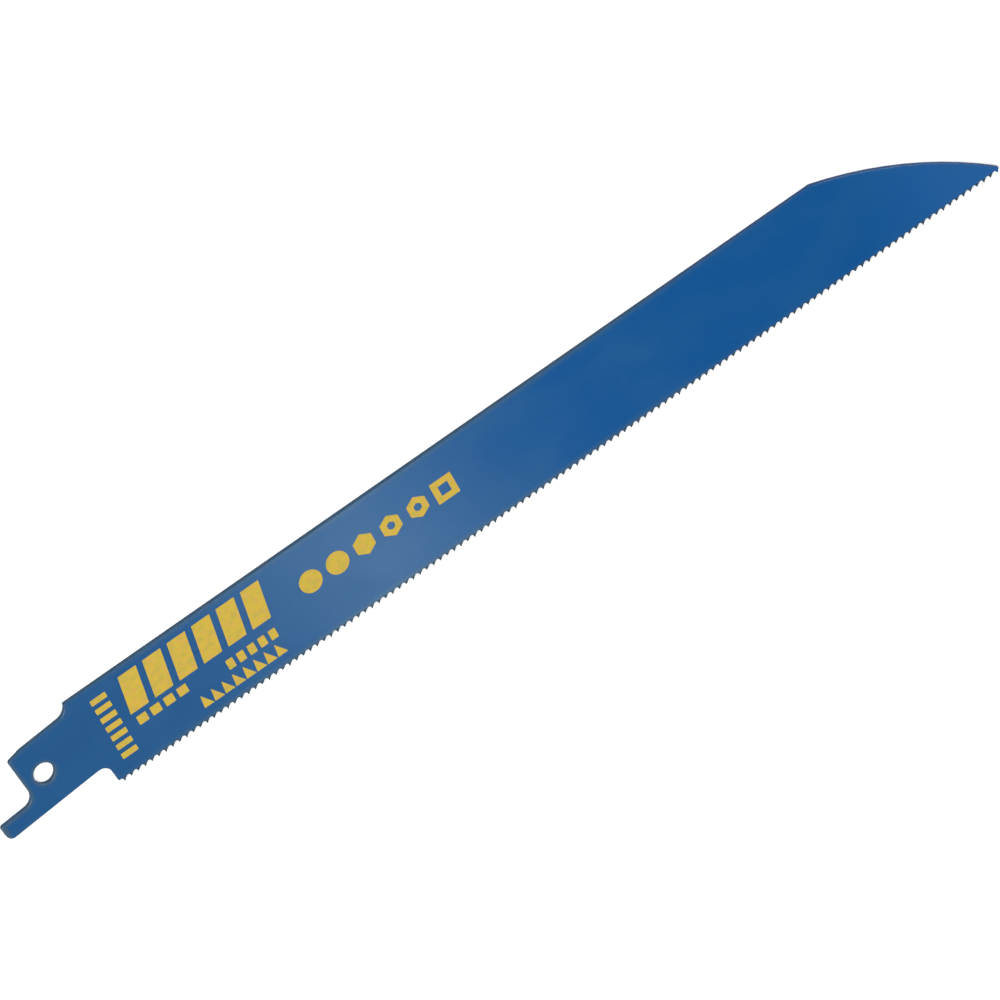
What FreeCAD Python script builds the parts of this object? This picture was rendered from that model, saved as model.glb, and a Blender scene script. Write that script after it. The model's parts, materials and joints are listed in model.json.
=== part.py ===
"""Reciprocating saw blade: one stamped, ground and set strip of steel.

The origin is the centre of the shank's hole at mid-thickness. +X runs along the
blade to its nose, +Y to its back edge, and +Z through the thickness.
"""
import FreeCAD, Part
import Sketcher
import os
from enum import IntEnum
from math import cos, radians, sin, sqrt, tan
from types import SimpleNamespace


class Spot(IntEnum):
    """The places on an edge that a constraint can name."""

    START = 1
    END = 2
    CENTRE = 3


START, END, CENTRE = Spot
ORIGIN = (-1, START)
LEANS = {"upper_tooth": 1, "straight_tooth": 0, "lower_tooth": -1}
LEAN_HEIGHT = "gullet_profile.Constraints.rake_height / 1 mm"

# Driving dimensions, in millimetres, degrees and counts
SIZES = {
    "thickness": 0.9,
    "blade_width": 19.05,
    "back_above_hole": 8.85,
    "shank_height": 12.7,
    "shank_cant": 4.5,
    "hole_diameter": 3.8,
    "shoulder_from_hole": 9.35,
    "upper_shoulder_radius": 2.4,
    "lower_shoulder_radius": 1.85,
    "rear_from_hole": 3.9,
    "lead_in_from_hole": 1.1,
    "lead_in_angle": 10,
    "rear_corner_radius": 0.5,
    "prong_reach": 11.35,
    "prong_height": 3.2,
    "step_radius": 2.1,
    "prong_top_radius": 0.5,
    "prong_bottom_radius": 1.25,
    "first_tooth_from_hole": 10.95,
    "tooth_pitch": 1.4111,
    "teeth_count": 128,
    "tooth_relief": 43.5,
    "tip_land": 0.05,
    "gullet_radius": 0.46,
    "tooth_set": 0.15,
    "toe_lift": 0.13,
    "toe_flat": 0.2,
    "toe_run": 0.49,
    "toe_height": 0.74,
    "nose_radius": 78.7,
    "nose_run": 30.1,
}

doc = FreeCAD.newDocument("reciprocating_saw_blade")
sheet = doc.addObject("Spreadsheet::Sheet", "Sizes")
for row, (name, value) in enumerate(SIZES.items(), start=1):
    sheet.set(f"A{row}", name)
    sheet.set(f"B{row}", str(value))
    sheet.setAlias(f"B{row}", name)
doc.recompute()


def size(name):
    """The value that the sheet holds for a size."""
    return float(sheet.get(name))


def plane_of(role):
    """One of the body's own origin planes or axes."""
    return next(item for item in blade.Origin.OriginFeatures if item.Role == role)


def new_sketch(name):
    """An empty sketch on the plane at mid-thickness."""
    sketch = blade.newObject("Sketcher::SketchObject", name)
    sketch.AttachmentSupport = [(plane_of("XY_Plane"), "")]
    sketch.MapMode = "FlatFace"
    return sketch


def measured(sketch, name, value, kind, *items):
    """A length of the solved sketch that other features read."""
    index = sketch.addConstraint(Sketcher.Constraint(kind, *items, value))
    sketch.renameConstraint(index, name)
    sketch.setDriving(index, False)


def dimension(sketch, name, expression, kind, *items):
    """A named dimension of a sketch, bound to the sheet."""
    value = sketch.evalExpression(expression)
    if kind == "Angle":
        value = radians(value.Value)
    index = sketch.addConstraint(Sketcher.Constraint(kind, *items, value))
    sketch.renameConstraint(index, name)
    sketch.setExpression(f"Constraints.{name}", expression)


def line(sketch, first, last, construction=False):
    """A straight edge between two points."""
    return sketch.addGeometry(Part.LineSegment(first, last), construction)


def arc(sketch, centre, radius, first, last):
    """An edge on a circle, counterclockwise from the first point to the last."""
    circle = Part.Circle(centre, FreeCAD.Vector(0, 0, 1), radius)
    return sketch.addGeometry(Part.ArcOfCircle(circle, circle.parameter(first), circle.parameter(last)))


def relate(sketch, kind, *items):
    """A condition with no size of its own."""
    sketch.addConstraint(Sketcher.Constraint(kind, *items))


def point(across, up):
    """A point in the blade's own frame."""
    return FreeCAD.Vector(across, up, 0)


def shank_point(along, up):
    """A point in the canted frame of the shank."""
    cant = radians(size("shank_cant"))
    return point(along * cos(cant) - up * sin(cant), along * sin(cant) + up * cos(cant))


def rounded(before, corner, after, radius):
    """Tangent points and centre of a round at a corner between two straight edges."""
    inward = (before - corner).normalize()
    outward = (after - corner).normalize()
    half_angle = inward.getAngle(outward) / 2
    setback = radius / tan(half_angle)
    middle = (inward + outward).normalize()
    return (
        corner + inward * setback,
        corner + middle * (radius / sin(half_angle)),
        corner + outward * setback,
    )


# The blade is one body: the blank first, then its hole, its gullets and its teeth
blade = doc.addObject("PartDesign::Body", "saw_blade")
blade.Label = "saw_blade"


def gullet_sketch():
    """The space that the grinding wheel clears between one tooth and the next.

    Its measured rake_height also says where the teeth start to lean.
    """
    pitch, land, radius = size("tooth_pitch"), size("tip_land"), size("gullet_radius")
    relief = radians(size("tooth_relief"))
    tip_y = size("back_above_hole") - size("blade_width")
    first_x = size("first_tooth_from_hole") + land
    next_x = size("first_tooth_from_hole") + pitch
    round_y = tip_y + tan(relief) * (pitch - land - radius) - radius / cos(relief)
    round_centre = point(next_x - radius, round_y)
    rake_top = point(next_x, round_y)
    slope_top = round_centre + point(-sin(relief), cos(relief)) * radius

    sketch = new_sketch("gullet_profile")
    mouth = line(sketch, point(first_x, tip_y), point(next_x, tip_y))
    rake = line(sketch, point(next_x, tip_y), rake_top)
    bottom = arc(sketch, round_centre, radius, rake_top, slope_top)
    slope = line(sketch, slope_top, point(first_x, tip_y))
    relate(sketch, "Coincident", mouth, END, rake, START)
    relate(sketch, "Tangent", rake, END, bottom, START)
    relate(sketch, "Tangent", bottom, END, slope, START)
    relate(sketch, "Coincident", slope, END, mouth, START)
    relate(sketch, "Horizontal", mouth)
    relate(sketch, "Vertical", rake)
    dimension(sketch, "first_mouth", "Sizes.first_tooth_from_hole + Sizes.tip_land",
              "DistanceX", *ORIGIN, mouth, START)
    dimension(sketch, "tip_depth", "Sizes.blade_width - Sizes.back_above_hole",
              "DistanceY", mouth, START, *ORIGIN)
    dimension(sketch, "mouth_width", "Sizes.tooth_pitch - Sizes.tip_land",
              "DistanceX", mouth, START, mouth, END)
    dimension(sketch, "relief", "Sizes.tooth_relief * 1 deg", "Angle", mouth, END, slope, START)
    dimension(sketch, "round", "Sizes.gullet_radius", "Radius", bottom)
    measured(sketch, "rake_height", round_y - tip_y, "DistanceY", rake, START, rake, END)
    return sketch


def on_shoulder(up):
    """The point of the shoulder's line at a height above the hole."""
    cant = radians(size("shank_cant"))
    return point((size("shoulder_from_hole") - up * sin(cant)) / cos(cant), up)


def blank_corners(rake_height):
    """The corners of the outline by name, before any of them is rounded.

    Args:
        rake_height: how high the straight front of a tooth stands.
    """
    half, shoulder_x = size("shank_height") / 2, size("shoulder_from_hole")
    rear_x, reach_x = -size("rear_from_hole"), -size("prong_reach")
    lead_in_x, prong_y = -size("lead_in_from_hole"), size("prong_height") - half
    lead_drop = tan(radians(size("lead_in_angle"))) * (lead_in_x - rear_x)
    back_y = size("back_above_hole")
    lean_y = back_y - size("blade_width") + rake_height
    row_x = size("first_tooth_from_hole")
    row_end = point(row_x + size("teeth_count") * size("tooth_pitch"), lean_y)
    toe = row_end + point(0, size("toe_lift") - rake_height)
    toe_end = toe + point(size("toe_flat"), 0)
    nose_tip = toe_end + point(size("toe_run"), size("toe_height"))
    return SimpleNamespace(
        lead_in=shank_point(lead_in_x, half),
        rear=shank_point(rear_x, half - lead_drop),
        step=shank_point(rear_x, prong_y),
        prong_top=shank_point(reach_x, prong_y),
        prong_bottom=shank_point(reach_x, -half),
        foot=shank_point(shoulder_x, -half),
        heel=on_shoulder(lean_y + size("gullet_radius")),
        row_start=point(row_x, lean_y),
        row_end=row_end,
        toe=toe,
        toe_end=toe_end,
        nose_tip=nose_tip,
        kink=point(nose_tip.x - size("nose_run"), back_y),
        shoulder_top=on_shoulder(back_y),
    )


def draw_guides(sketch):
    """The lines that the canted shank is measured from: its axis, a square and the shoulder."""
    shoulder_x = size("shoulder_from_hole")
    axis = line(sketch, point(0, 0), shank_point(shoulder_x, 0), True)
    square = line(sketch, point(0, 0), shank_point(0, size("shank_height") / 2), True)
    shoulder = line(sketch, shank_point(shoulder_x, 0), on_shoulder(size("back_above_hole")), True)
    relate(sketch, "Coincident", axis, START, *ORIGIN)
    relate(sketch, "Coincident", square, START, *ORIGIN)
    relate(sketch, "Coincident", shoulder, START, axis, END)
    relate(sketch, "Perpendicular", axis, square)
    relate(sketch, "Perpendicular", axis, shoulder)
    dimension(sketch, "cant", "Sizes.shank_cant * 1 deg", "Angle", axis)
    dimension(sketch, "shoulder_from_hole", "Sizes.shoulder_from_hole", "Distance", axis)
    dimension(sketch, "half_shank", "Sizes.shank_height / 2", "Distance", square)
    return SimpleNamespace(axis=axis, square=square, shoulder=shoulder)


def draw_shank(sketch, at):
    """The shank's edges, from the upper shoulder round the rear end to the heel.

    Args:
        sketch: the outline's sketch.
        at: the outline's corners.
    """
    half, cant = size("shank_height") / 2, radians(size("shank_cant"))
    upper_radius = size("upper_shoulder_radius")
    upper_y = half + upper_radius
    rise = upper_y - (at.shoulder_top.y * cos(cant) - at.shoulder_top.x * sin(cant))
    upper_x = size("shoulder_from_hole") - sqrt(upper_radius ** 2 - rise ** 2)
    upper_start = shank_point(upper_x, half)
    rear_radius, step_radius = size("rear_corner_radius"), size("step_radius")
    top_radius, bottom_radius = size("prong_top_radius"), size("prong_bottom_radius")
    foot_radius = size("lower_shoulder_radius")
    rear = rounded(at.lead_in, at.rear, at.step, rear_radius)
    step = rounded(at.rear, at.step, at.prong_top, step_radius)
    top = rounded(at.step, at.prong_top, at.prong_bottom, top_radius)
    bottom = rounded(at.prong_top, at.prong_bottom, at.foot, bottom_radius)
    foot = rounded(at.prong_bottom, at.foot, at.heel, foot_radius)
    return SimpleNamespace(
        shoulder_arc=arc(sketch, shank_point(upper_x, upper_y), upper_radius, upper_start, at.shoulder_top),
        top_edge=line(sketch, upper_start, at.lead_in),
        lead_edge=line(sketch, at.lead_in, rear[0]),
        rear_arc=arc(sketch, rear[1], rear_radius, rear[0], rear[2]),
        rear_edge=line(sketch, rear[2], step[0]),
        step_arc=arc(sketch, step[1], step_radius, step[2], step[0]),
        prong_edge=line(sketch, step[2], top[0]),
        top_arc=arc(sketch, top[1], top_radius, top[0], top[2]),
        end_edge=line(sketch, top[2], bottom[0]),
        bottom_arc=arc(sketch, bottom[1], bottom_radius, bottom[0], bottom[2]),
        bottom_edge=line(sketch, bottom[2], foot[0]),
        foot_arc=arc(sketch, foot[1], foot_radius, foot[2], foot[0]),
        foot_edge=line(sketch, foot[2], at.heel),
    )


def draw_strip(sketch, at):
    """The strip's edges, from the heel along the tooth row and round the nose to the upper shoulder.

    Args:
        sketch: the outline's sketch.
        at: the outline's corners.
    """
    radius, nose_radius = size("gullet_radius"), size("nose_radius")
    heel_centre = at.row_start - point(radius, 0)
    heel_top = heel_centre + point(0, radius)
    chord = at.nose_tip - at.kink
    across = point(chord.y, -chord.x).normalize()
    nose_centre = (at.nose_tip + at.kink) / 2 + across * sqrt(nose_radius ** 2 - chord.Length ** 2 / 4)
    return SimpleNamespace(
        heel_edge=line(sketch, at.heel, heel_top),
        heel_arc=arc(sketch, heel_centre, radius, at.row_start, heel_top),
        lean_edge=line(sketch, at.row_start, at.row_end),
        toe_rake=line(sketch, at.row_end, at.toe),
        toe_flat=line(sketch, at.toe, at.toe_end),
        toe_edge=line(sketch, at.toe_end, at.nose_tip),
        nose_arc=arc(sketch, nose_centre, nose_radius, at.nose_tip, at.kink),
        back_edge=line(sketch, at.kink, at.shoulder_top),
    )


def join_edges(sketch, shank, strip):
    """Closes the outline: smoothly at the rounds, and at a corner elsewhere.

    Args:
        sketch: the outline's sketch.
        shank: the shank's edges.
        strip: the strip's edges.
    """
    for pair in (
        (shank.shoulder_arc, START, shank.top_edge, START),
        (shank.lead_edge, END, shank.rear_arc, START),
        (shank.rear_arc, END, shank.rear_edge, START),
        (shank.rear_edge, END, shank.step_arc, END),
        (shank.step_arc, START, shank.prong_edge, START),
        (shank.prong_edge, END, shank.top_arc, START),
        (shank.top_arc, END, shank.end_edge, START),
        (shank.end_edge, END, shank.bottom_arc, START),
        (shank.bottom_arc, END, shank.bottom_edge, START),
        (shank.bottom_edge, END, shank.foot_arc, END),
        (shank.foot_arc, START, shank.foot_edge, START),
        (strip.heel_edge, END, strip.heel_arc, END),
    ):
        relate(sketch, "Tangent", *pair)
    for pair in (
        (shank.top_edge, END, shank.lead_edge, START),
        (shank.foot_edge, END, strip.heel_edge, START),
        (strip.heel_arc, START, strip.lean_edge, START),
        (strip.lean_edge, END, strip.toe_rake, START),
        (strip.toe_rake, END, strip.toe_flat, START),
        (strip.toe_flat, END, strip.toe_edge, START),
        (strip.toe_edge, END, strip.nose_arc, START),
        (strip.nose_arc, END, strip.back_edge, START),
        (strip.back_edge, END, shank.shoulder_arc, END),
    ):
        relate(sketch, "Coincident", *pair)


def measure_shank(sketch, guides, shank):
    """Ties the shank's edges to its guides and to the sheet.

    Args:
        sketch: the outline's sketch.
        guides: the shank's guide lines.
        shank: the shank's edges.
    """
    axis, square = guides.axis, guides.square
    for edge in (shank.top_edge, shank.prong_edge, shank.bottom_edge):
        relate(sketch, "Parallel", axis, edge)
    for edge in (shank.rear_edge, shank.end_edge, shank.foot_edge):
        relate(sketch, "Parallel", square, edge)
    relate(sketch, "PointOnObject", square, END, shank.top_edge)
    relate(sketch, "PointOnObject", shank.foot_edge, END, guides.shoulder)
    dimension(sketch, "lead_in_from_hole", "Sizes.lead_in_from_hole", "Distance", shank.lead_edge, START, square)
    dimension(sketch, "lead_in_angle", "Sizes.lead_in_angle * 1 deg", "Angle", axis, END, shank.lead_edge, START)
    dimension(sketch, "rear_from_hole", "Sizes.rear_from_hole", "Distance", shank.rear_edge, START, square)
    dimension(sketch, "prong_reach", "Sizes.prong_reach", "Distance", shank.end_edge, START, square)
    dimension(sketch, "prong_height", "Sizes.prong_height", "Distance", shank.prong_edge, END, shank.bottom_edge)
    dimension(sketch, "shank_bottom", "Sizes.shank_height / 2", "Distance", shank.bottom_edge, START, axis)
    for name, edge in {
        "upper_shoulder_radius": shank.shoulder_arc,
        "rear_corner_radius": shank.rear_arc,
        "step_radius": shank.step_arc,
        "prong_top_radius": shank.top_arc,
        "prong_bottom_radius": shank.bottom_arc,
        "lower_shoulder_radius": shank.foot_arc,
    }.items():
        dimension(sketch, name, f"Sizes.{name}", "Radius", edge)


def measure_strip(sketch, guides, strip):
    """Ties the strip's edges to the shoulder's line and to the sheet.

    Args:
        sketch: the outline's sketch.
        guides: the shank's guide lines.
        strip: the strip's edges.
    """
    back, lean, toe = strip.back_edge, strip.lean_edge, strip.toe_edge
    for edge in (strip.heel_edge, lean, strip.toe_flat, back):
        relate(sketch, "Horizontal", edge)
    relate(sketch, "Vertical", strip.toe_rake)
    relate(sketch, "Horizontal", strip.heel_arc, CENTRE, strip.heel_arc, START)
    relate(sketch, "Coincident", guides.shoulder, END, back, END)
    dimension(sketch, "back_above_hole", "Sizes.back_above_hole", "DistanceY", *ORIGIN, back, END)
    dimension(sketch, "heel_below_back", f"Sizes.blade_width - {LEAN_HEIGHT} - Sizes.gullet_radius",
              "DistanceY", strip.heel_edge, START, back, END)
    dimension(sketch, "heel_radius", "Sizes.gullet_radius", "Radius", strip.heel_arc)
    dimension(sketch, "first_tooth_from_hole", "Sizes.first_tooth_from_hole", "DistanceX", *ORIGIN, lean, START)
    dimension(sketch, "row_length", "Sizes.teeth_count * Sizes.tooth_pitch", "DistanceX", lean, START, lean, END)
    dimension(sketch, "toe_drop", f"{LEAN_HEIGHT} - Sizes.toe_lift",
              "DistanceY", strip.toe_rake, END, strip.toe_rake, START)
    dimension(sketch, "toe_flat", "Sizes.toe_flat", "DistanceX", strip.toe_flat, START, strip.toe_flat, END)
    dimension(sketch, "toe_run", "Sizes.toe_run", "DistanceX", toe, START, toe, END)
    dimension(sketch, "toe_height", "Sizes.toe_height", "DistanceY", toe, START, toe, END)
    dimension(sketch, "nose_run", "Sizes.nose_run", "DistanceX", strip.nose_arc, END, strip.nose_arc, START)
    dimension(sketch, "nose_radius", "Sizes.nose_radius", "Radius", strip.nose_arc)


def blank_sketch(rake_height):
    """The outline that the press stamps, down to the line where the teeth start to lean.

    Args:
        rake_height: how high the straight front of a tooth stands.
    """
    corners = blank_corners(rake_height)
    sketch = new_sketch("blank_outline")
    guides = draw_guides(sketch)
    shank, strip = draw_shank(sketch, corners), draw_strip(sketch, corners)
    join_edges(sketch, shank, strip)
    measure_shank(sketch, guides, shank)
    measure_strip(sketch, guides, strip)
    return sketch


def hole_sketch():
    """The round hole for the pin of the blade clamp."""
    sketch = new_sketch("hole_outline")
    circle = Part.Circle(point(0, 0), FreeCAD.Vector(0, 0, 1), size("hole_diameter") / 2)
    hole = sketch.addGeometry(circle, False)
    relate(sketch, "Coincident", hole, CENTRE, *ORIGIN)
    dimension(sketch, "diameter", "Sizes.hole_diameter", "Diameter", hole)
    return sketch


def pad(sketch, name):
    """A plate of the sketch's outline, as much above mid-thickness as below."""
    plate = blade.newObject("PartDesign::Pad", name)
    plate.Profile = sketch
    plate.SideType = "Symmetric"
    plate.setExpression("Length", "Sizes.thickness")
    return plate


def cut_through(sketch, name):
    """A cut through the whole thickness, both ways from mid-thickness."""
    pocket = blade.newObject("PartDesign::Pocket", name)
    pocket.Profile = sketch
    pocket.SideType = "Symmetric"
    pocket.setExpression("Length", "2 * Sizes.thickness")
    pocket.Refine = False
    return pocket


def row_of(feature, spacing, count):
    """Copies of a feature along the blade, whose spacing and count are expressions."""
    row = blade.newObject("PartDesign::LinearPattern", f"{feature.Name}_row")
    row.Originals = [feature]
    row.Direction = (plane_of("X_Axis"), [""])
    row.Mode = "Spacing"
    row.setExpression("Offset", spacing)
    row.setExpression("Occurrences", count)
    row.Refine = False
    blade.Tip = row
    return row


def tooth(name, place, lean):
    """The part of a tooth that the setting tool leans, from its root to its tip.

    Args:
        name: the feature's name.
        place: how many pitches it stands from the first tooth.
        lean: 1 to lean towards +Z, -1 towards -Z, 0 for a straight tooth.
    """
    wedge = blade.newObject("PartDesign::AdditiveWedge", name)
    wedge.Refine = False
    rake_x = f"Sizes.first_tooth_from_hole + {place} * Sizes.tooth_pitch"
    shift = f"{lean} * Sizes.tooth_set"
    tip_y = "Sizes.back_above_hole - Sizes.blade_width"
    root_width = f"Sizes.tip_land + {LEAN_HEIGHT} / tan(Sizes.tooth_relief * 1 deg)"
    for side, expression in {
        "Xmin": rake_x,
        "Xmax": f"{rake_x} + Sizes.tip_land",
        "X2min": rake_x,
        "X2max": f"{rake_x} + {root_width}",
        "Ymin": tip_y,
        "Ymax": f"{tip_y} + {LEAN_HEIGHT}",
        "Zmin": f"{shift} - Sizes.thickness / 2",
        "Zmax": f"{shift} + Sizes.thickness / 2",
        "Z2min": "-Sizes.thickness / 2",
        "Z2max": "Sizes.thickness / 2",
    }.items():
        wedge.setExpression(side, expression)
    return wedge


def set_teeth():
    """Every tooth of the row: one leans up, the next is straight and the third leans down."""
    rows = []
    for place, (name, lean) in enumerate(LEANS.items()):
        spacing = f"{len(LEANS)} * Sizes.tooth_pitch"
        count = f"floor((Sizes.teeth_count + {len(LEANS) - 1 - place}) / {len(LEANS)})"
        rows.append(row_of(tooth(name, place, lean), spacing, count))
    return rows


gullet_profile = gullet_sketch()
doc.recompute()
blank = pad(blank_sketch(gullet_profile.getDatum("rake_height").Value), "blank")
hole = cut_through(hole_sketch(), "shank_hole")
gullet = cut_through(gullet_profile, "gullet")
gullets = row_of(gullet, "Sizes.tooth_pitch", "Sizes.teeth_count")
teeth = set_teeth()
doc.recompute()

for item in doc.Objects:
    if "Invalid" in item.State or "Error" in item.State:
        raise RuntimeError(f"{item.Label} failed: {item.State}")
for before, after in ((blank, hole), (hole, gullet), (gullet, gullets)):
    if after.Shape.Volume >= before.Shape.Volume:
        raise RuntimeError(f"{after.Label} cuts nothing")
for before, after in zip([gullets] + teeth, teeth):
    if after.Shape.Volume <= before.Shape.Volume:
        raise RuntimeError(f"{after.Label} adds nothing")
if blade.Shape.isNull() or not blade.Shape.isValid() or len(blade.Shape.Solids) != 1:
    raise RuntimeError("the blade isn't one sound solid")

os.makedirs("parts", exist_ok=True)
blade.Shape.exportStep(f"parts/{blade.Label}.step")
print(f"{blade.Label}: volume {blade.Shape.Volume:.1f} mm3, {blade.Shape.BoundBox}")
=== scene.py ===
"""Looks of the reciprocating saw blade: lacquered faces, bare edges and teeth, and a yellow print.

Lengths are metres in the part's own frame: the origin is the centre of the shank's hole at
mid-thickness, +X runs to the nose, +Y to the back edge and +Z up through the thickness.
"""

import json
import logging
from dataclasses import dataclass, field
from enum import Enum, IntEnum
from math import cos, radians, sin, sqrt
from typing import Callable, Dict, List, Sequence, Tuple, Union

import bpy
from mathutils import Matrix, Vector

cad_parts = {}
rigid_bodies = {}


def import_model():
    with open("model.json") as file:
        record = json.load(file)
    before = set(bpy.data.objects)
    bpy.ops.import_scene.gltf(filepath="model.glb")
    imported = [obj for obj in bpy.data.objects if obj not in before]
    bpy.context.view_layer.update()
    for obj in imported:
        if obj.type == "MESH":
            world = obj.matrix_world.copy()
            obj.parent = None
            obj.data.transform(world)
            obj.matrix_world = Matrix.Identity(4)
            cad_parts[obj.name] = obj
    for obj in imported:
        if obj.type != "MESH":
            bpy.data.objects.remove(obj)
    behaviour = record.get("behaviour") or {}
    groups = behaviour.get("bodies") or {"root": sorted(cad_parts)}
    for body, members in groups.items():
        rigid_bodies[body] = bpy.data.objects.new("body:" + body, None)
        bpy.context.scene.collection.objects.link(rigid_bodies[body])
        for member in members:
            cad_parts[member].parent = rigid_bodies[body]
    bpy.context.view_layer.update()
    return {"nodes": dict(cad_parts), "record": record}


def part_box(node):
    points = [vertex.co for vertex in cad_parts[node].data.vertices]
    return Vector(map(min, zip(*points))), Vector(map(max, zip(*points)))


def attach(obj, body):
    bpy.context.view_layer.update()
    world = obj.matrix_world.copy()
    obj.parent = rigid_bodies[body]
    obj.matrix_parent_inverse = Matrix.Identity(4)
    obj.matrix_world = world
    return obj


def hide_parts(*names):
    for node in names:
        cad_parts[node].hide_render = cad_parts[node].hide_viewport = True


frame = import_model()

MM = 0.001
BODY = "root"
CAD_NODE = "saw_blade"
LOG = logging.getLogger("saw_blade")

Colour = Tuple[float, float, float, float]
Place = Tuple[float, float, float]
Value = Union["Socket", float, Sequence[float]]
WHITE: Colour = (1.0, 1.0, 1.0, 1.0)


def srgb(red: int, green: int, blue: int) -> Colour:
    """A shader colour from the 0 to 255 values that a screen shows.

    Args:
        red: the red value.
        green: the green value.
        blue: the blue value.

    Returns:
        The same colour in linear light, opaque.
    """
    shares = [value / 255 for value in (red, green, blue)]
    linear = [
        share / 12.92 if share <= 0.04045 else ((share + 0.055) / 1.055) ** 2.4 for share in shares
    ]
    return (*linear, 1.0)


def mount(name: str) -> dict:
    """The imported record's mount of that name."""
    return next(item for item in frame["record"]["mounts"] if item["name"] == name)


class Socket:
    """An output of a shader node, on which Python's operators work."""

    def __init__(self, graph: "Graph", output: bpy.types.NodeSocket) -> None:
        """Wraps one output.

        Args:
            graph: the graph that the node stands in.
            output: the node's output.
        """
        self.graph = graph
        self.output = output

    def part(self, name: str) -> "Socket":
        """Another output of the same node."""
        return Socket(self.graph, self.output.node.outputs[name])

    def _math(self, operation: str, *values: Value) -> "Socket":
        """A Math node on the given values."""
        return self.graph.node("ShaderNodeMath", {"operation": operation}, dict(enumerate(values)))

    def __add__(self, other: Value) -> "Socket":
        """Self plus other."""
        return self._math("ADD", self, other)

    def __radd__(self, other: Value) -> "Socket":
        """Other plus self."""
        return self._math("ADD", other, self)

    def __sub__(self, other: Value) -> "Socket":
        """Self less other."""
        return self._math("SUBTRACT", self, other)

    def __rsub__(self, other: Value) -> "Socket":
        """Other less self."""
        return self._math("SUBTRACT", other, self)

    def __mul__(self, other: Value) -> "Socket":
        """Self times other."""
        return self._math("MULTIPLY", self, other)

    def __rmul__(self, other: Value) -> "Socket":
        """Other times self."""
        return self._math("MULTIPLY", other, self)

    def __pow__(self, other: Value) -> "Socket":
        """Self to the power other."""
        return self._math("POWER", self, other)

    def __abs__(self) -> "Socket":
        """Self without its sign."""
        return self._math("ABSOLUTE", self)

    def least(self, other: Value) -> "Socket":
        """The smaller of self and other."""
        return self._math("MINIMUM", self, other)

    def most(self, other: Value) -> "Socket":
        """The larger of self and other."""
        return self._math("MAXIMUM", self, other)

    def blend_most(self, other: Value, reach: float) -> "Socket":
        """The larger of self and other, rounded over where they are within reach of each other."""
        return self._math("SMOOTH_MAX", self, other, reach)

    def rise(self, low: float, high: float) -> "Socket":
        """A smooth step.

        Args:
            low: the value of self where the step is 0.
            high: the value of self where the step is 1.

        Returns:
            A mask between 0 and 1.
        """
        return self.graph.node(
            "ShaderNodeMapRange",
            {"interpolation_type": "SMOOTHSTEP"},
            {"Value": self, "From Min": low, "From Max": high},
        )


class Graph:
    """The nodes of one material or of the world."""

    def __init__(self, tree: bpy.types.NodeTree) -> None:
        """Starts from an empty tree.

        Args:
            tree: the tree to fill.
        """
        self.tree = tree
        self.tree.nodes.clear()

    def node(
        self, kind: str, settings: Dict[str, object], inputs: Dict[Union[int, str], Value]
    ) -> Socket:
        """Adds a node.

        Args:
            kind: the node's type.
            settings: its settings by name.
            inputs: the values or links of its sockets, by place or by identifier.

        Returns:
            The node's first output that is in use.
        """
        made = self.tree.nodes.new(kind)
        for name, value in settings.items():
            setattr(made, name, value)
        for key, value in inputs.items():
            target = made.inputs[key] if isinstance(key, int) else self._named(made, key)
            if isinstance(value, Socket):
                self.tree.links.new(value.output, target)
            else:
                target.default_value = value
        return Socket(self, next((item for item in made.outputs if item.enabled), None))

    @staticmethod
    def _named(node: bpy.types.Node, identifier: str) -> bpy.types.NodeSocket:
        """The input with that identifier."""
        return next(item for item in node.inputs if item.identifier == identifier)

    def mix(self, share: Value, first: Value, second: Value) -> Socket:
        """A colour between two others.

        Args:
            share: 0 for the first colour and 1 for the second.
            first: a colour or its socket.
            second: a colour or its socket.

        Returns:
            The mixed colour.
        """
        return self.node(
            "ShaderNodeMix",
            {"data_type": "RGBA"},
            {"Factor_Float": share, "A_Color": first, "B_Color": second},
        )

    def place(self) -> Tuple[Socket, Socket, Socket]:
        """The shaded point's X, Y and Z in the part's frame."""
        point = self.node("ShaderNodeTexCoord", {}, {}).part("Object")
        parts = self.node("ShaderNodeSeparateXYZ", {}, {"Vector": point})
        return parts.part("X"), parts.part("Y"), parts.part("Z")

    def noise(self, grain: float, detail: float = 2.0, stretch: float = 1.0) -> Socket:
        """A cloudy pattern between 0 and 1.

        Args:
            grain: the size of its patches in metres.
            detail: how many finer layers it has.
            stretch: how much longer a patch is along the blade than across it.

        Returns:
            The pattern's value.
        """
        point = self.node("ShaderNodeTexCoord", {}, {}).part("Object")
        scale = (1 / stretch, 1.0, 1.0)
        mapped = self.node("ShaderNodeMapping", {}, {"Vector": point, "Scale": scale})
        return self.node(
            "ShaderNodeTexNoise", {}, {"Vector": mapped, "Scale": 1 / grain, "Detail": detail}
        )

    def bump(self, height: Value, depth: float) -> Socket:
        """A normal that follows a height pattern.

        Args:
            height: the pattern, between 0 and 1.
            depth: its height in metres.

        Returns:
            The bent normal.
        """
        return self.node("ShaderNodeBump", {}, {"Height": height, "Distance": depth})

    def surface(self, inputs: Dict[str, Value]) -> None:
        """Ends the graph in one glossy shader.

        Args:
            inputs: the values or links of the shader's sockets.
        """
        shader = self.node("ShaderNodeBsdfPrincipled", {}, inputs)
        self.node("ShaderNodeOutputMaterial", {}, {"Surface": shader})


def new_material(name: str) -> Tuple[bpy.types.Material, Graph]:
    """A material of that name, with its empty graph."""
    material = bpy.data.materials.new(name)
    material.use_nodes = True
    return material, Graph(material.node_tree)


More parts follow.
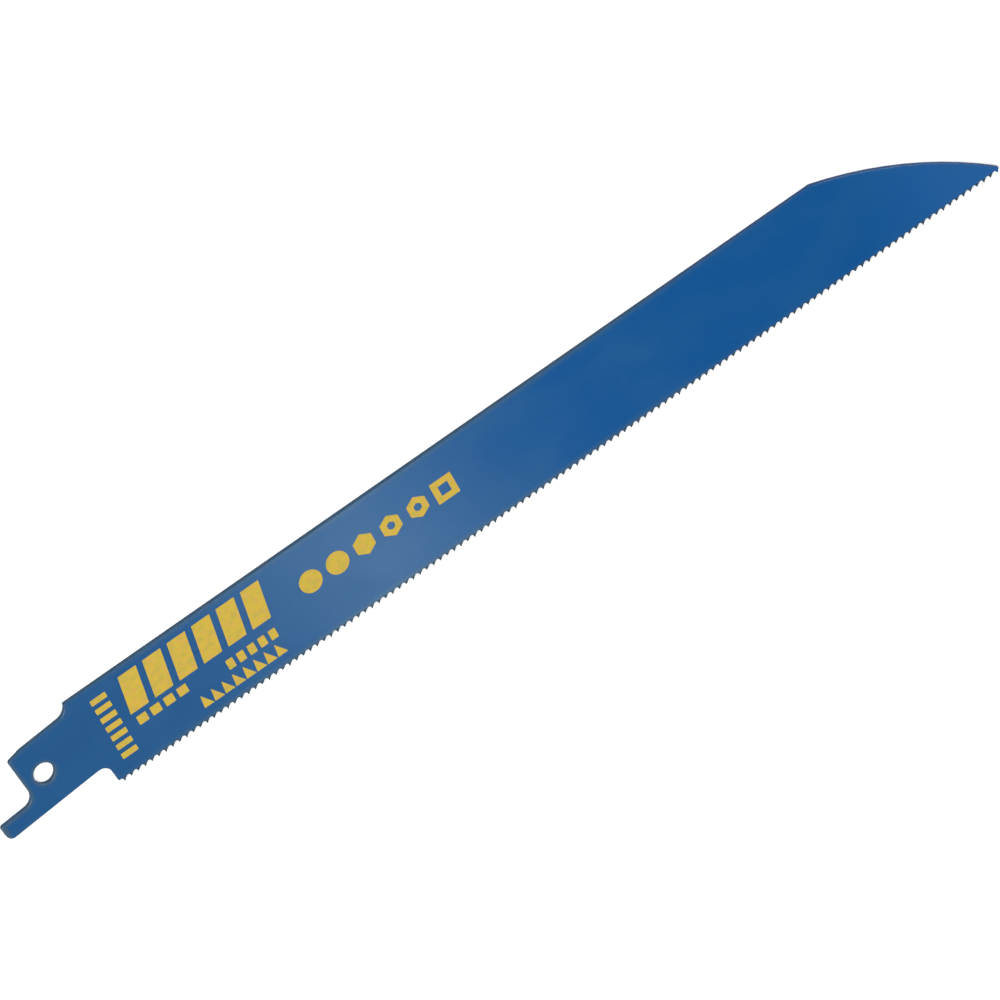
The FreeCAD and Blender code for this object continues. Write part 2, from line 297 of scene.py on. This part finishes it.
@dataclass(frozen=True)
class Patches:
    """A cloudy mask, such as mottle or wear."""

    grain: float
    detail: float
    low: float
    high: float
    stretch: float = 1.0
    share: float = 1.0

    def mask(self, graph: Graph) -> Socket:
        """Where the patches lie.

        Args:
            graph: the graph to work in.

        Returns:
            0 between the patches and 1 inside them.
        """
        return graph.noise(self.grain, self.detail, self.stretch).rise(self.low, self.high)


@dataclass(frozen=True)
class Texture:
    """The fine unevenness of a coat."""

    grain: float
    detail: float
    depth: float
    stretch: float = 1.0

    def normal(self, graph: Graph) -> Socket:
        """The normal that it bends.

        Args:
            graph: the graph to work in.

        Returns:
            The bent normal.
        """
        return graph.bump(graph.noise(self.grain, self.detail, self.stretch), self.depth)


@dataclass(frozen=True)
class NoseFade:
    """How the coat of the edges turns brighter and less worn toward the nose."""

    start: float = 100 * MM
    end: float = 175 * MM
    wear_lost: float = 0.6

    def share(self, graph: Graph) -> Socket:
        """How near the nose a point lies.

        Args:
            graph: the graph to work in.

        Returns:
            0 as far as the start and 1 from the end on.
        """
        x, _, _ = graph.place()
        return x.rise(self.start, self.end)


@dataclass(frozen=True)
class BladeForm:
    """Sizes of the blade that its finish follows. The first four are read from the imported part."""

    low: Vector
    high: Vector
    face: float
    hole_radius: float
    cant: float = radians(4.5)
    shank_half: float = 6.35 * MM
    shank_rear: float = 3.9 * MM
    prong_height: float = 3.2 * MM
    step_radius: float = 2.1 * MM
    shoulder: float = 9.35 * MM
    first_tooth: float = 10.95 * MM
    toe_length: float = 0.69 * MM
    toe_height: float = 0.87 * MM
    gullet_depth: float = 0.681 * MM
    nose_run: float = 30.1 * MM
    nose_radius: float = 78.7 * MM
    fillet: float = 4.0 * MM

    @classmethod
    def of_part(cls) -> "BladeForm":
        """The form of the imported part."""
        low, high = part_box(CAD_NODE)
        face = mount("upper_face")["pos_m"][2]
        return cls(low, high, face, mount("shank_hole")["dims"]["r_mm"] * MM)

    def nose_centre(self) -> Tuple[float, float]:
        """The centre of the nose's arc.

        Returns:
            Its X and Y.
        """
        tip = Vector((self.high.x, self.low.y + self.toe_height))
        kink = Vector((self.high.x - self.nose_run, self.high.y))
        chord = tip - kink
        across = Vector((chord.y, -chord.x)).normalized()
        centre = (tip + kink) / 2 + across * sqrt(self.nose_radius ** 2 - chord.length_squared / 4)
        return centre.x, centre.y

    def _shank_place(self, graph: Graph) -> Tuple[Socket, Socket, Socket, Socket]:
        """A point's X and Y, and its place along and up the canted shank."""
        x, y, _ = graph.place()
        along = x * cos(self.cant) + y * sin(self.cant)
        up = y * cos(self.cant) - x * sin(self.cant)
        return x, y, along, up

    def inside(self, graph: Graph) -> Socket:
        """How far inside the blade's outline a point of its faces lies, leaving out the teeth.

        Args:
            graph: the graph to work in.

        Returns:
            The distance to the nearest edge in metres, with the gullets' bottoms as the lower edge.
        """
        x, y, along, up = self._shank_place(graph)
        nose_x, nose_y = self.nose_centre()
        to_nose = self.nose_radius - ((x - nose_x) ** 2 + (y - nose_y) ** 2) ** 0.5
        to_nose = to_nose.most(self.high.x - self.nose_run - x)
        strip = (self.high.y - y).least(y - self.low.y - self.gullet_depth).least(to_nose)
        strip = strip.least(along - self.shoulder)
        shank = (self.shank_half - abs(up)).least(along + self.shank_rear)
        shank = shank.least(self.shoulder + self.shank_half - along)
        prong = (self.prong_height - self.shank_half - up).least(up + self.shank_half)
        prong = prong.least(along - self.low.x).least(self.shoulder + self.prong_height - along)
        hole = (x ** 2 + y ** 2) ** 0.5 - self.hole_radius
        return strip.blend_most(shank, self.fillet).blend_most(prong, self.fillet).least(hole)

    def clamped(self, graph: Graph) -> Socket:
        """How far a point lies from the shank's rear, its prong and the hole, which a clamp rubs.

        Args:
            graph: the graph to work in.

        Returns:
            The distance in metres.
        """
        x, y, along, up = self._shank_place(graph)
        right = (along + self.shank_rear + self.step_radius).most(0.0)
        below = (self.prong_height - self.shank_half + self.step_radius - up).most(0.0)
        rear = ((right ** 2 + below ** 2) ** 0.5 - self.step_radius).least(along - self.low.x)
        return rear.least((x ** 2 + y ** 2) ** 0.5 - self.hole_radius)

    def toothed(self, graph: Graph) -> Socket:
        """How far a point lies into the tooth row.

        Args:
            graph: the graph to work in.

        Returns:
            The distance below the gullets' bottoms in metres, and less than 0 off the row.
        """
        x, y, _ = graph.place()
        row = (x - self.first_tooth).least(self.high.x - self.toe_length - x)
        return (self.low.y + self.gullet_depth - y).least(row)


@dataclass(frozen=True)
class BlueLacquer:
    """The stoved blue coat of both faces, thin at the edges and ground away at the teeth."""

    form: BladeForm
    shank_colour: Colour = srgb(34, 86, 138)
    nose_colour: Colour = srgb(10, 84, 148)
    tip_colour: Colour = srgb(34, 96, 162)
    pale_mottle: Colour = srgb(34, 93, 144)
    thin_colour: Colour = srgb(64, 97, 125)
    steel_colour: Colour = srgb(64, 84, 102)
    rub_colour: Colour = srgb(92, 92, 92)
    clamped_colour: Colour = srgb(82, 99, 104)
    clouds: Patches = Patches(9 * MM, 3.0, 0.35, 0.75, stretch=1.6, share=0.35)
    specks: Patches = Patches(0.5 * MM, 4.0, 0.58, 0.7, share=0.5)
    grain: Texture = Texture(0.25 * MM, 3.0, 0.002 * MM)
    nose_colour_at: float = 0.6
    thin_reach: float = 1.1 * MM
    thin_on_shank: float = 0.3
    thin_gained: float = 0.4
    thin_gained_at: float = 3.0
    thin_lost: float = 0.6
    thin_lost_from: float = 0.5
    clamped_start: float = 0.1 * MM
    clamped_reach: float = 0.7 * MM
    clamped_share: float = 0.55
    speck_reach: float = 0.35 * MM
    bare_from: float = -0.1 * MM
    bare_to: float = 0.12 * MM
    bare_metallic: float = 0.4
    roughness: float = 0.185
    cloud_roughness: float = 0.05
    tooth_roughness: float = 0.4

    def material(self) -> bpy.types.Material:
        """The finished material."""
        material, graph = new_material("blue_lacquer")
        cloud = self.clouds.mask(graph)
        colour = graph.mix(cloud * self.clouds.share, self._coat(graph), self.pale_mottle)
        bare = self.form.toothed(graph).rise(self.bare_from, self.bare_to)
        rougher = bare * (self.tooth_roughness - self.roughness)
        graph.surface({
            "Base Color": graph.mix(bare, self._worn(graph, colour), self.steel_colour),
            "Metallic": bare * self.bare_metallic,
            "Roughness": self.roughness + cloud * self.cloud_roughness + rougher,
            "Normal": self.grain.normal(graph),
        })
        return material

    def _coat(self, graph: Graph) -> Socket:
        """The whole coat's colour, which changes along the blade.

        Args:
            graph: the graph to work in.

        Returns:
            The colour.
        """
        x, _, _ = graph.place()
        end = self.form.high.x
        coat = graph.mix(x.rise(0, end * self.nose_colour_at), self.shank_colour, self.nose_colour)
        return graph.mix(x.rise(end - self.form.nose_run, end), coat, self.tip_colour)

    def _worn(self, graph: Graph, colour: Socket) -> Socket:
        """The coat's colour with its wear: thin near the edges, rubbed by a clamp and specked.

        Args:
            graph: the graph to work in.
            colour: the whole coat's colour.

        Returns:
            The worn coat's colour.
        """
        x, _, _ = graph.place()
        form, inside = self.form, self.form.inside(graph)
        bladeward = x.rise(form.shoulder, form.shoulder * self.thin_gained_at)
        noseward = x.rise(form.high.x * self.thin_lost_from, form.high.x - form.nose_run)
        share = self.thin_on_shank + bladeward * self.thin_gained - noseward * self.thin_lost
        thin = 1 - inside.rise(0, self.thin_reach)
        colour = graph.mix(thin * share, colour, self.thin_colour)
        clamped = 1 - form.clamped(graph).rise(self.clamped_start, self.clamped_reach)
        colour = graph.mix(clamped * self.clamped_share, colour, self.clamped_colour)
        edge = 1 - inside.rise(0, self.speck_reach)
        specked = edge * self.specks.mask(graph) * self.specks.share
        return graph.mix(specked, colour, self.rub_colour)


@dataclass(frozen=True)
class StampedEdgePaintedShade:
    """The cut face that runs round the whole outline and the hole, under a thinner, duller coat,
    whose colours also carry painted shade for a wall turned away from the lamps.
    """

    # colour and nose_colour are partly a duller coat and partly painted shade: darker than the
    # face's coat because the wall faces away from the lamps
    colour: Colour = srgb(32, 70, 98)
    nose_colour: Colour = srgb(16, 66, 116)
    scuffed: Colour = srgb(58, 78, 94)
    scuffs: Patches = Patches(0.8 * MM, 4.0, 0.5, 0.72, stretch=3.0)
    grain: Texture = Texture(0.12 * MM, 3.0, 0.004 * MM, stretch=0.2)
    fade: NoseFade = NoseFade()
    roughness: float = 0.55
    scuff_polish: float = 0.1
    shine: float = 0.2

    def material(self) -> bpy.types.Material:
        """The finished material."""
        material, graph = new_material("stamped_edge")
        noseward = self.fade.share(graph)
        scuff = self.scuffs.mask(graph) * (1 - noseward * self.fade.wear_lost)
        # the wall's coat colour, which carries painted shade as well as the duller coat
        coat = graph.mix(noseward, self.colour, self.nose_colour)
        graph.surface({
            "Base Color": graph.mix(scuff, coat, self.scuffed),
            "Specular IOR Level": self.shine,
            "Roughness": self.roughness - scuff * self.scuff_polish,
            "Normal": self.grain.normal(graph),
        })
        return material


@dataclass(frozen=True)
class WornRim:
    """The small round between a face and the cut edge, where the coat is thinnest."""

    colour: Colour = srgb(44, 86, 126)
    nose_colour: Colour = srgb(20, 80, 140)
    bare: Colour = srgb(96, 108, 120)
    worn: Patches = Patches(1.5 * MM, 4.0, 0.5, 0.7, share=0.5)
    fade: NoseFade = NoseFade()
    worn_metallic: float = 0.3
    roughness: float = 0.25

    def material(self) -> bpy.types.Material:
        """The finished material."""
        material, graph = new_material("worn_rim")
        noseward = self.fade.share(graph)
        wear = self.worn.mask(graph) * (1 - noseward * self.fade.wear_lost)
        coat = graph.mix(noseward, self.colour, self.nose_colour)
        graph.surface({
            "Base Color": graph.mix(wear * self.worn.share, coat, self.bare),
            "Metallic": wear * self.worn_metallic,
            "Roughness": self.roughness,
        })
        return material


@dataclass(frozen=True)
class GroundTooth:
    """The bare dark steel of the gullets and of the teeth's sides."""

    colour: Colour = srgb(58, 72, 86)
    bright: Colour = srgb(96, 110, 124)
    streaks: Patches = Patches(0.2 * MM, 3.0, 0.45, 0.75, stretch=0.2)
    metallic: float = 0.6
    roughness: float = 0.4
    streak_roughness: float = 0.1

    def material(self) -> bpy.types.Material:
        """The finished material."""
        material, graph = new_material("ground_tooth")
        streak = self.streaks.mask(graph)
        graph.surface({
            "Base Color": graph.mix(streak, self.colour, self.bright),
            "Metallic": self.metallic,
            "Roughness": self.roughness + streak * self.streak_roughness,
        })
        return material


@dataclass(frozen=True)
class YellowInk:
    """The screen-printed ink, slightly blotchy and matt."""

    colour: Colour = srgb(211, 180, 60)
    green_blotch: Colour = srgb(176, 166, 76)
    orange_blotch: Colour = srgb(218, 168, 84)
    green: Patches = Patches(1.0 * MM, 2.5, 0.42, 0.72, share=0.6)
    orange: Patches = Patches(0.8 * MM, 2.5, 0.42, 0.7, stretch=0.7, share=0.65)
    grain: Texture = Texture(0.2 * MM, 2.0, 0.003 * MM)
    roughness: float = 0.5

    def material(self) -> bpy.types.Material:
        """The finished material."""
        material, graph = new_material("yellow_ink")
        colour = self.colour
        for patches, blotch in ((self.green, self.green_blotch), (self.orange, self.orange_blotch)):
            colour = graph.mix(patches.mask(graph) * patches.share, colour, blotch)
        graph.surface({
            "Base Color": colour,
            "Roughness": self.roughness,
            "Normal": self.grain.normal(graph),
        })
        return material


@dataclass(frozen=True)
class WhiteTable:
    """The white floor, which keeps the blade's soft shadow."""

    colour: Colour = (0.8, 0.8, 0.8, 1.0)
    lift: float = 0.45

    def material(self) -> bpy.types.Material:
        """The finished material."""
        material, graph = new_material("white_table")
        path = graph.node("ShaderNodeLightPath", {}, {})
        mirrored = path.part("Is Glossy Ray").most(path.part("Is Transmission Ray"))
        strength = path.part("Is Camera Ray").most(mirrored) * self.lift
        matt = graph.node("ShaderNodeBsdfDiffuse", {}, {"Color": self.colour})
        glow = graph.node("ShaderNodeEmission", {}, {"Color": WHITE, "Strength": strength})
        both = graph.node("ShaderNodeAddShader", {}, {0: matt, 1: glow})
        graph.node("ShaderNodeOutputMaterial", {}, {"Surface": both})
        return material


def deselect_all() -> None:
    """Leaves no object selected, because an operator acts on all that are."""
    for item in bpy.context.view_layer.objects:
        item.select_set(False)


def select_alone(piece: bpy.types.Object) -> None:
    """Makes a piece the only selected object, and the active one."""
    deselect_all()
    piece.select_set(True)
    bpy.context.view_layer.objects.active = piece


def edit(piece: bpy.types.Object, work: Callable[[], None]) -> None:
    """Does some work on a piece in edit mode.

    Args:
        piece: the piece, which is selected alone.
        work: the operators to run.
    """
    select_alone(piece)
    bpy.ops.object.mode_set(mode="EDIT")
    work()
    bpy.ops.object.mode_set(mode="OBJECT")


def settle(piece: bpy.types.Object) -> None:
    """Puts a piece's place, turn and scale into its mesh."""
    select_alone(piece)
    bpy.ops.object.transform_apply(location=True, rotation=True, scale=True)


class Finish(IntEnum):
    """The places of the blade's materials in its mesh."""

    LACQUER = 0
    RIM = 1
    EDGE = 2
    GROUND = 3


@dataclass
class BladeStrip:
    """The blade itself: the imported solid's form with finely rounded edges, dressed face by face.

    A level is the upright share of a face's normal: 1 for a flat face and 0 for a wall.
    """

    form: BladeForm
    name: str = "blade_strip"
    merge_reach: float = 0.001 * MM
    flat_angle: float = radians(0.6)
    sharp_angle: float = radians(32)
    rim: float = 0.15 * MM
    rim_steps: int = 3
    burr_rim: float = 0.02 * MM
    tooth_rim: float = 0.02 * MM
    fine_steps: int = 2
    tooth_margin: float = 0.18 * MM
    heel_clearance: float = 0.5 * MM
    face_level: float = 0.7
    lacquer_level: float = 0.9
    tooth_lacquer_level: float = 0.8
    rim_level: float = 0.5
    normal_weight: int = 100

    def build(self) -> bpy.types.Object:
        """Models and dresses the blade.

        Returns:
            The finished piece.
        """
        mesh = frame["nodes"][CAD_NODE].data.copy()
        piece = bpy.data.objects.new(self.name, mesh)
        bpy.context.scene.collection.objects.link(piece)
        edit(piece, self._merge)
        self._round(piece, self.rim, self.rim_steps, self._is_upper_outline)
        self._round(piece, self.burr_rim, self.fine_steps, self._is_lower_outline)
        self._round(piece, self.tooth_rim, self.fine_steps, self._is_tooth)
        self._dress(piece)
        self._smooth(piece)
        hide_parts(CAD_NODE)
        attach(piece, BODY)
        return piece

    def _merge(self) -> None:
        """Joins the loose triangles and takes out the lines across flat faces."""
        bpy.ops.mesh.select_all(action="SELECT")
        bpy.ops.mesh.remove_doubles(threshold=self.merge_reach)
        bpy.ops.mesh.dissolve_limited(angle_limit=self.flat_angle)
        bpy.ops.mesh.select_all(action="DESELECT")

    def _is_tooth(self, point: Vector) -> bool:
        """Whether a point belongs to the tooth row."""
        low = self.form.low.y + self.form.gullet_depth + self.tooth_margin
        return point.y < low and point.x > self.form.first_tooth - self.tooth_margin

    def _is_outline(self, point: Vector) -> bool:
        """Whether a point belongs to the outline, off the teeth and the heel's short edges."""
        return not self._is_tooth(point + Vector((self.heel_clearance, 0.0, 0.0)))

    def _is_upper_outline(self, point: Vector) -> bool:
        """Whether a point belongs to the outline of the upper face, which the punch rolled over."""
        return point.z > 0 and self._is_outline(point)

    def _is_lower_outline(self, point: Vector) -> bool:
        """Whether a point belongs to the outline of the lower face, where the punch came out."""
        return point.z < 0 and self._is_outline(point)

    def _round(
        self, piece: bpy.types.Object, width: float, steps: int, chosen: Callable[[Vector], bool]
    ) -> None:
        """Rounds the sharp edges between the faces and the cut edge.

        Args:
            piece: the merged blade.
            width: how far the round reaches from the edge.
            steps: how many flats the round has.
            chosen: says for an end of an edge whether it is rounded.
        """
        mesh = piece.data
        flat = {}
        for polygon in mesh.polygons:
            for key in polygon.edge_keys:
                flat.setdefault(key, []).append(abs(polygon.normal.z) > self.face_level)
        for edge in mesh.edges:
            ends = [mesh.vertices[index].co for index in edge.vertices]
            sides = flat.get(tuple(sorted(edge.vertices)), [])
            borders = len(sides) == 2 and sides[0] != sides[1]
            edge.select = borders and all(chosen(end) for end in ends)
        for item in list(mesh.vertices) + list(mesh.polygons):
            item.select = False
        bpy.context.tool_settings.mesh_select_mode = (False, True, False)
        edit(piece, lambda: self._bevel(width, steps))

    @staticmethod
    def _bevel(width: float, steps: int) -> None:
        """Bevels the chosen edges.

        Args:
            width: how far the round reaches from the edge.
            steps: how many flats the round has.
        """
        bpy.ops.mesh.bevel(offset_type="OFFSET", offset=width, segments=steps, clamp_overlap=True)
        bpy.ops.mesh.select_all(action="DESELECT")

    def _smooth(self, piece: bpy.types.Object) -> None:
        """Shades the rounds smooth and keeps the wide faces flat.

        Args:
            piece: the rounded blade.
        """
        select_alone(piece)
        bpy.ops.object.shade_smooth_by_angle(angle=self.sharp_angle)
        weights = piece.modifiers.new("weights", "WEIGHTED_NORMAL")
        weights.weight = self.normal_weight
        weights.keep_sharp = True
        bpy.ops.object.modifier_apply(modifier=weights.name)

    def _dress(self, piece: bpy.types.Object) -> None:
        """Gives each face of the mesh its finish.

        Args:
            piece: the modelled blade.
        """
        looks = {
            Finish.LACQUER: BlueLacquer(self.form),
            Finish.RIM: WornRim(),
            Finish.EDGE: StampedEdgePaintedShade(),
            Finish.GROUND: GroundTooth(),
        }
        piece.data.materials.clear()
        for finish in Finish:
            piece.data.materials.append(looks[finish].material())
        for polygon in piece.data.polygons:
            polygon.material_index = self._finish_of(polygon)

    def _finish_of(self, polygon: bpy.types.MeshPolygon) -> Finish:
        """The finish of one face, by its place and by how level it lies.

        Args:
            polygon: the face.

        Returns:
            Its finish.
        """
        level = abs(polygon.normal.z)
        if level > self.lacquer_level:
            return Finish.LACQUER
        if self._is_tooth(polygon.center):
            return Finish.LACQUER if level > self.tooth_lacquer_level else Finish.GROUND
        return Finish.RIM if level > self.rim_level else Finish.EDGE


class Figure(Enum):
    """A simple printed figure."""

    BAR = "bar"
    SLANTED_BAR = "slanted bar"
    DISC = "disc"
    HEXAGON = "hexagon"
    NUT = "nut"
    SQUARE_TUBE = "square tube"
    TOOTH = "tooth"


# How many corners a figure starts with, unless it starts as a square
CORNERS = {Figure.DISC: 40, Figure.HEXAGON: 6, Figure.NUT: 6}


@dataclass
class Print:
    """One field of the yellow print: a row of like figures, each a thin film of ink."""

    name: str
    figure: Figure
    x: float
    y: float
    width: float
    height: float
    pitch: float
    count: int = 1
    upright: bool = False
    lean: float = 0.0
    corner: float = 0.12 * MM
    corner_steps: int = 3
    wall_share: float = 0.27
    film: float = 0.015 * MM
    sunk: float = 0.005 * MM

    def build(self, level: float, ink: bpy.types.Material) -> bpy.types.Object:
        """Models the row.

        Args:
            level: the height of the face that it is printed on.
            ink: its material.

        Returns:
            The finished piece.
        """
        piece = self._first_figure(level)
        piece.name = self.name
        row = piece.modifiers.new("row", "ARRAY")
        row.count = self.count
        row.use_relative_offset = False
        row.use_constant_offset = True
        step = (0.0, -self.pitch, 0.0) if self.upright else (self.pitch, 0.0, 0.0)
        row.constant_offset_displace = step
        bpy.ops.object.modifier_apply(modifier=row.name)
        piece.data.materials.append(ink)
        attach(piece, BODY)
        return piece

    def _first_figure(self, level: float) -> bpy.types.Object:
        """The row's first figure, with its film's thickness.

        Args:
            level: the height of the face that it is printed on.

        Returns:
            The figure, as an object at the origin.
        """
        centre = (self.x + self.width / 2, self.y + self.height / 2, level - self.sunk)
        deselect_all()
        if self.figure in CORNERS:
            bpy.ops.mesh.primitive_circle_add(
                vertices=CORNERS[self.figure], radius=0.5, fill_type="NGON", location=centre
            )
        else:
            bpy.ops.mesh.primitive_plane_add(size=1, location=centre)
        piece = bpy.context.object
        piece.scale = (self.width, self.height, 1.0)
        settle(piece)
        if self.figure in (Figure.SLANTED_BAR, Figure.TOOTH):
            self._choose_top(piece)
            edit(piece, self._shape_top)
        edit(piece, self._finish)
        return piece

    def _choose_top(self, piece: bpy.types.Object) -> None:
        """Selects the upper corners of a bar.

        Args:
            piece: the plain bar.
        """
        bpy.context.tool_settings.mesh_select_mode = (True, False, False)
        middle = self.y + self.height / 2
        for vertex in piece.data.vertices:
            vertex.select = vertex.co.y > middle
        for item in list(piece.data.edges) + list(piece.data.polygons):
            item.select = False

    def _shape_top(self) -> None:
        """Joins the upper corners of a tooth, and leans a figure by moving its upper corners."""
        if self.figure is Figure.TOOTH:
            bpy.ops.mesh.merge(type="CENTER")
        bpy.ops.transform.translate(value=(self.lean, 0.0, 0.0))

    def _finish(self) -> None:
        """Opens a hollow figure, rounds the corners and gives the film its thickness."""
        bpy.ops.mesh.select_mode(type="FACE")
        bpy.ops.mesh.select_all(action="SELECT")
        if self.figure in (Figure.NUT, Figure.SQUARE_TUBE):
            bpy.ops.mesh.inset(thickness=self.height * self.wall_share)
            bpy.ops.mesh.delete(type="FACE")
            bpy.ops.mesh.select_all(action="SELECT")
        if self.figure is not Figure.DISC:
            bpy.ops.mesh.bevel(affect="VERTICES", offset=self.corner, segments=self.corner_steps)
            bpy.ops.mesh.select_all(action="SELECT")
        bpy.ops.mesh.extrude_region_move(
            TRANSFORM_OT_translate={"value": (0.0, 0.0, self.film + self.sunk)}
        )
        bpy.ops.mesh.select_all(action="SELECT")
        bpy.ops.mesh.normals_make_consistent(inside=False)


@dataclass
class PrintLayout:
    """Where the yellow print's fields lie on the upper face.

    The medallions are the line of like-sized figures nearest the nose.
    """

    fields: List[Print] = field(default_factory=lambda: [
        Print("print_rungs", Figure.BAR, x=12.6 * MM, y=5.3 * MM,
              width=3.1 * MM, height=1.1 * MM, pitch=1.98 * MM, count=7, upright=True),
        Print("print_stripes", Figure.SLANTED_BAR, x=17.5 * MM, y=-0.25 * MM,
              width=3.7 * MM, height=7.45 * MM, pitch=5.0 * MM, count=6, lean=1.25 * MM),
        Print("print_dashes", Figure.BAR, x=18.0 * MM, y=-2.98 * MM,
              width=1.9 * MM, height=1.75 * MM, pitch=2.72 * MM, count=4),
        Print("print_squares", Figure.BAR, x=35.7 * MM, y=-4.15 * MM,
              width=1.4 * MM, height=1.95 * MM, pitch=2.17 * MM, count=5),
        Print("print_teeth", Figure.TOOTH, x=28.8 * MM, y=-7.5 * MM,
              width=2.0 * MM, height=2.5 * MM, pitch=2.16 * MM, count=8, lean=-0.7 * MM),
    ])
    medallions: Tuple[Tuple[str, Figure, int], ...] = (
        ("print_discs", Figure.DISC, 2),
        ("print_hexagons", Figure.HEXAGON, 1),
        ("print_nuts", Figure.NUT, 2),
        ("print_square_tubes", Figure.SQUARE_TUBE, 1),
    )
    medallion_x: float = 52.9 * MM
    medallion_y: float = -1.06 * MM
    medallion_side: float = 4.3 * MM
    medallion_pitch: float = 5.5 * MM

    def _medallion_fields(self) -> List[Print]:
        """The fields of the medallions, one after the other along the blade."""
        fields = []
        x = self.medallion_x
        for name, figure, count in self.medallions:
            fields.append(Print(
                name, figure, x=x, y=self.medallion_y, width=self.medallion_side,
                height=self.medallion_side, pitch=self.medallion_pitch, count=count,
            ))
            x += count * self.medallion_pitch
        return fields

    def build(self, form: BladeForm) -> List[bpy.types.Object]:
        """Models every field.

        Args:
            form: the blade's form.

        Returns:
            The pieces.
        """
        ink = YellowInk().material()
        return [item.build(form.face, ink) for item in self.fields + self._medallion_fields()]


@dataclass
class Lamp:
    """A soft rectangular lamp that points at a place on the blade."""

    name: str
    place: Place
    target: Place
    size: Tuple[float, float]
    power: float
    colour: Place = (1.0, 1.0, 1.0)

    def build(self) -> bpy.types.Object:
        """Adds the lamp to the scene."""
        data = bpy.data.lights.new(self.name, "AREA")
        data.color = self.colour
        data.shape = "RECTANGLE"
        data.size, data.size_y = self.size
        data.energy = self.power
        lamp = bpy.data.objects.new(self.name, data)
        lamp.location = self.place
        lamp.rotation_mode = "QUATERNION"
        beam = Vector(self.target) - Vector(self.place)
        lamp.rotation_quaternion = beam.to_track_quat("-Z", "Y")
        bpy.context.scene.collection.objects.link(lamp)
        return lamp


@dataclass
class Studio:
    """The white table, the lamps and the dim room round them."""

    form: BladeForm
    table_side: float = 6.0
    room_level: float = 0.1
    white_below: float = 0.3
    dim_above: float = 0.6
    lamps: List[Lamp] = field(default_factory=lambda: [
        Lamp("key", place=(-0.5, 0.3, 0.9), target=(0.09, 0.0, 0.0), size=(0.7, 0.7), power=10.4),
        Lamp("fill", place=(0.8, 0.5, 0.7), target=(0.09, 0.0, 0.0), size=(0.6, 0.6), power=5.8),
        Lamp("sheen", place=(0.120, -0.206, 0.339), target=(0.066, 0.0, 0.0),
             size=(0.024, 0.3), power=0.095, colour=(0.78, 1.0, 0.92)),
    ])

    def build(self) -> None:
        """Sets the table, the lamps, the room and how colours are shown."""
        deselect_all()
        middle = (self.form.low.x + self.form.high.x) / 2
        place = (middle, 0.0, self.form.low.z)
        bpy.ops.mesh.primitive_plane_add(size=self.table_side, location=place)
        table = bpy.context.object
        table.name = "white_table"
        settle(table)
        table.data.materials.append(WhiteTable().material())
        for lamp in self.lamps:
            lamp.build()
        self._room()
        bpy.context.scene.view_settings.view_transform = "Standard"

    def _room(self) -> None:
        """Makes a room that is white where it is seen near the table's height, and dim overhead."""
        world = bpy.data.worlds.new("room")
        world.use_nodes = True
        bpy.context.scene.world = world
        graph = Graph(world.node_tree)
        path = graph.node("ShaderNodeLightPath", {}, {})
        ray = graph.node("ShaderNodeTexCoord", {}, {}).part("Generated")
        height = graph.node("ShaderNodeSeparateXYZ", {}, {"Vector": ray}).part("Z")
        low = 1 - height.rise(self.white_below, self.dim_above)
        mirrored = path.part("Is Glossy Ray").most(path.part("Is Transmission Ray")) * low
        seen = path.part("Is Camera Ray").most(mirrored)
        strength = seen + (1 - seen) * self.room_level
        glow = graph.node("ShaderNodeBackground", {}, {"Color": WHITE, "Strength": strength})
        graph.node("ShaderNodeOutputWorld", {}, {"Surface": glow})


@dataclass
class Camera:
    """The photograph's viewpoint: far off, with the blade set across the frame.

    The lens and the sensor are in Blender's own millimetres.
    """

    target: Place = (89.81 * MM, -7.30 * MM, 0.0)
    distance: float = 2265.1 * MM
    lens: float = 486.0
    sensor: float = 36.0
    lean_back: float = radians(31.54)
    lean_shank: float = radians(8.31)
    roll: float = radians(34.84)
    clip_ratio: float = 100.0

    def build(self) -> bpy.types.Object:
        """Adds the camera and makes it the scene's own."""
        data = bpy.data.cameras.new("camera")
        data.sensor_width = self.sensor
        data.lens = self.lens
        data.clip_start = self.distance / self.clip_ratio
        data.clip_end = self.distance * self.clip_ratio
        camera = bpy.data.objects.new("camera", data)
        camera.rotation_mode = "ZYX"
        camera.rotation_euler = (-self.lean_back, -self.lean_shank, -self.roll)
        backwards = camera.rotation_euler.to_matrix() @ Vector((0.0, 0.0, 1.0))
        camera.location = Vector(self.target) + backwards * self.distance
        bpy.context.scene.collection.objects.link(camera)
        bpy.context.scene.camera = camera
        return camera


def main() -> None:
    """Builds the camera, the studio, the blade and its print."""
    logging.basicConfig(level=logging.INFO, format="%(name)s: %(message)s")
    form = BladeForm.of_part()
    Camera().build()
    Studio(form).build()
    blade = BladeStrip(form).build()
    LOG.info("%s: %d faces", blade.name, len(blade.data.polygons))
    for piece in PrintLayout().build(form):
        LOG.info("%s: %d faces", piece.name, len(piece.data.polygons))


if __name__ == "__main__":
    main()
